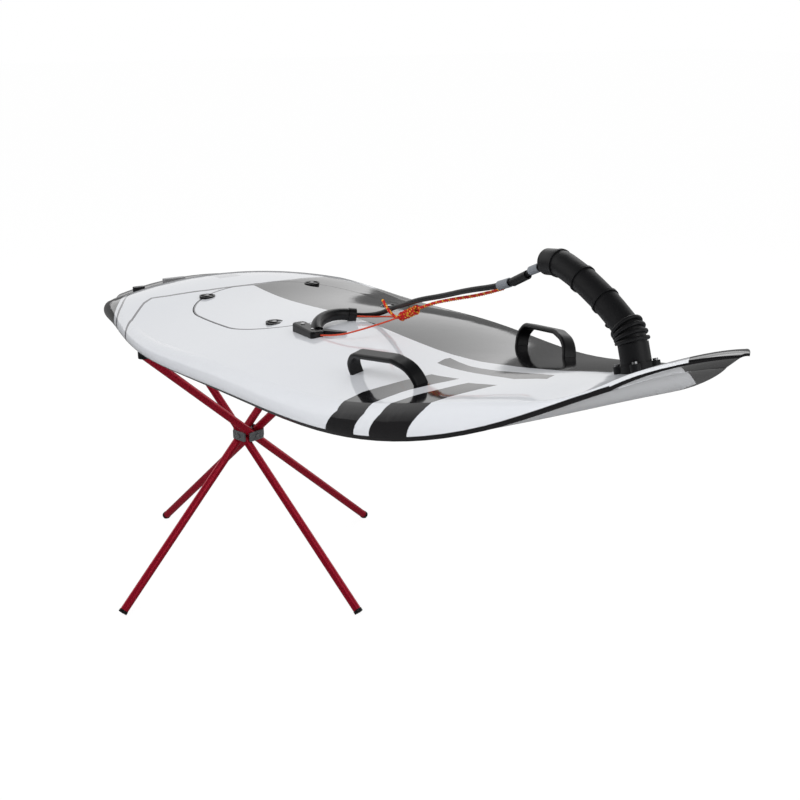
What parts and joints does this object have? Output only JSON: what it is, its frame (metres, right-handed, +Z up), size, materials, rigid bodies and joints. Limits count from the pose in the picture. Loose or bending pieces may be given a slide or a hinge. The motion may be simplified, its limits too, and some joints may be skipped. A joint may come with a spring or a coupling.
{
  "type": "electric jet surfboard on folding stand",
  "caption": "White and carbon-black powered jet surfboard with hatch lid, grab handles, ribbed steering hose and corded hand control, on a red four-tube folding stand",
  "frame": {"origin": "on the floor, under the middle of the overall length and width of board and stand", "axes": "X forward to the nose, Y to port, Z up"},
  "size_m": [1.8978, 0.7476, 0.9869],
  "materials": {
    "deck_gloss": "gloss",
    "carbon_gloss": "gloss",
    "dark_trim": "satin",
    "pale_trim": "satin",
    "inner_plastic": "matte",
    "black_plastic": "satin",
    "steel": "brushed",
    "nozzle_alloy": "satin",
    "motor_paint": "satin",
    "black_rubber": "satin",
    "grey_tape": "matte",
    "red_rope": "woven",
    "orange_cord": "woven",
    "red_tube": "anodised",
    "cap_rubber": "matte",
    "hub_grey": "satin"
  },
  "bodies": {
    "board": {"batteries": "nozzle_alloy", "bay_bearers": "inner_plastic", "bulkhead": "inner_plastic", "cable_sleeve": "black_rubber", "control_cable": "black_rubber", "control_collar": "black_plastic", "control_grip": "black_plastic", "deck": "deck_gloss", "flange_screws": "steel", "foot_cap_aft": "cap_rubber", "foot_cap_forward": "cap_rubber", "foot_cap_port": "cap_rubber", "foot_cap_starboard": "cap_rubber", "grip_screws": "steel", "handle_port": "black_plastic", "handle_starboard": "black_plastic", "hatch_seat": "inner_plastic", "hose": "black_rubber", "hose_bellows": "black_rubber", "hose_flange": "black_rubber", "hub_bolts": "steel", "hub_core": "hub_grey", "hub_plates": "hub_grey", "hull": "carbon_gloss", "intake_grille": "black_plastic", "jet_duct": "inner_plastic", "jet_nozzle": "nozzle_alloy", "leg_aft": "red_tube", "leg_forward": "red_tube", "leg_port": "red_tube", "leg_starboard": "red_tube", "motor": "motor_paint", "nose_cap": "carbon_gloss", "rope": "red_rope", "rope_knot": "red_rope", "rope_tail": "red_rope", "tail_cap_dark": "dark_trim", "tail_cap_pale": "pale_trim", "tape_aft": "grey_tape", "tape_fore": "grey_tape", "tip_pad_aft": "cap_rubber", "tip_pad_forward": "cap_rubber", "tip_pad_port": "cap_rubber", "tip_pad_starboard": "cap_rubber", "transom": "dark_trim", "trigger": "black_plastic", "trigger_cord_a": "orange_cord", "trigger_cord_b": "orange_cord"},
    "lid": {"hatch_lid": "deck_gloss", "latches": "black_plastic", "latch_cores": "steel"},
    "impeller": {"impeller": "steel", "shaft": "steel"}
  },
  "joints": [
    {"name": "lid_lift", "type": "slide", "parent": "board", "child": "lid", "axis": [0, 0, 1], "range_m": [0, 0.25]},
    {"name": "impeller_spin", "type": "hinge", "parent": "board", "child": "impeller", "pos_m": [-0.79, 0, 0.616], "axis": [1, 0, 0], "continuous": true}
  ]
}
